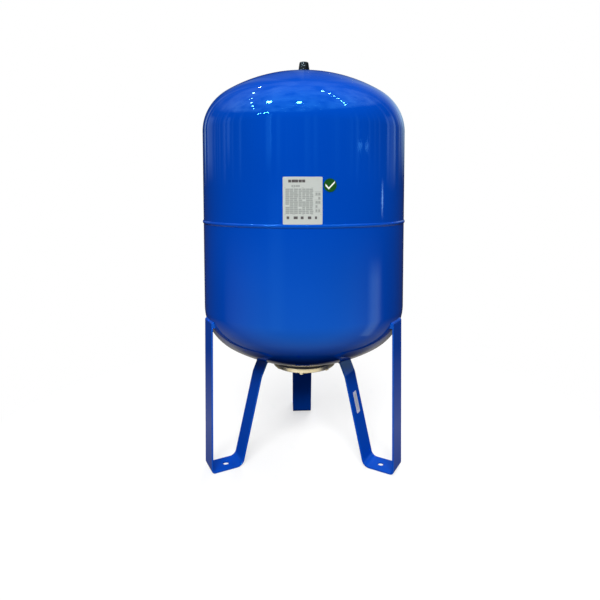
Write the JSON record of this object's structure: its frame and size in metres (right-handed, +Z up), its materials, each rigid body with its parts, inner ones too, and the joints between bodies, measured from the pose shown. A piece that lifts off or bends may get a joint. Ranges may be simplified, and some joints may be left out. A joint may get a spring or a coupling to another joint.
{
  "type": "well pressure tank",
  "caption": "Upright cylindrical steel pressure tank with domed ends on bent strap legs, with a flanged water port below and a capped air valve on top.",
  "frame": {"origin": "middle of the part's footprint on the floor, 1.7 mm from the tank's axis", "axes": "+Z up along the tank's axis, -Y is the front, where the rating plate is"},
  "size_m": [0.4538, 0.4573, 0.8826],
  "materials": {
    "blue_enamel": "glossy blue stoved enamel over deep drawn and welded steel",
    "yellow_zinc": "pale yellow zinc plating, satin",
    "black_rubber": "matt moulded rubber",
    "brass": "turned, bright",
    "spring_steel": "drawn wire",
    "black_plastic": "glossy moulded black plastic",
    "silver_film": "silver self-adhesive film, satin",
    "green_film": "green self-adhesive film",
    "white_paper": "white paper sticker"
  },
  "bodies": {
    "tank": {"upper_shell": "blue_enamel", "lower_shell": "blue_enamel", "girth_weld": "blue_enamel", "leg_front_left": "blue_enamel", "leg_front_right": "blue_enamel", "leg_rear": "blue_enamel", "leg_front_left_outer_weld": "blue_enamel", "leg_front_right_outer_weld": "blue_enamel", "leg_rear_outer_weld": "blue_enamel", "leg_front_left_inner_weld": "blue_enamel", "leg_front_right_inner_weld": "blue_enamel", "leg_rear_inner_weld": "blue_enamel", "neck_ring": "blue_enamel", "neck_weld": "blue_enamel", "valve_boss": "blue_enamel", "valve_boss_weld": "blue_enamel", "counter_flange": "yellow_zinc", "port_socket": "yellow_zinc", "port_weld": "yellow_zinc", "flange_stud_1": "yellow_zinc", "flange_stud_2": "yellow_zinc", "flange_stud_3": "yellow_zinc", "flange_stud_4": "yellow_zinc", "flange_stud_5": "yellow_zinc", "flange_stud_6": "yellow_zinc", "flange_nut_1": "yellow_zinc", "flange_nut_2": "yellow_zinc", "flange_nut_3": "yellow_zinc", "flange_nut_4": "yellow_zinc", "flange_nut_5": "yellow_zinc", "flange_nut_6": "yellow_zinc", "membrane": "black_rubber", "valve_seal": "black_rubber", "valve_stem": "brass", "valve_core": "brass", "valve_spring": "spring_steel", "rating_label": "silver_film", "check_sticker": "green_film", "leg_sticker": "white_paper"},
    "cap": {"valve_cap": "black_plastic"},
    "pin": {"valve_pin": "brass"}
  },
  "joints": [
    {"name": "cap_lift", "type": "slide", "parent": "tank", "child": "cap", "axis": [0, 0, 1], "range_m": [0, 0.03]},
    {"name": "pin_press", "type": "slide", "parent": "tank", "child": "pin", "axis": [0, 0, -1], "range_m": [0, 0.0015], "stiffness_N_per_m": 400, "springref_m": -0.001, "deforming": ["valve_spring"]}
  ]
}
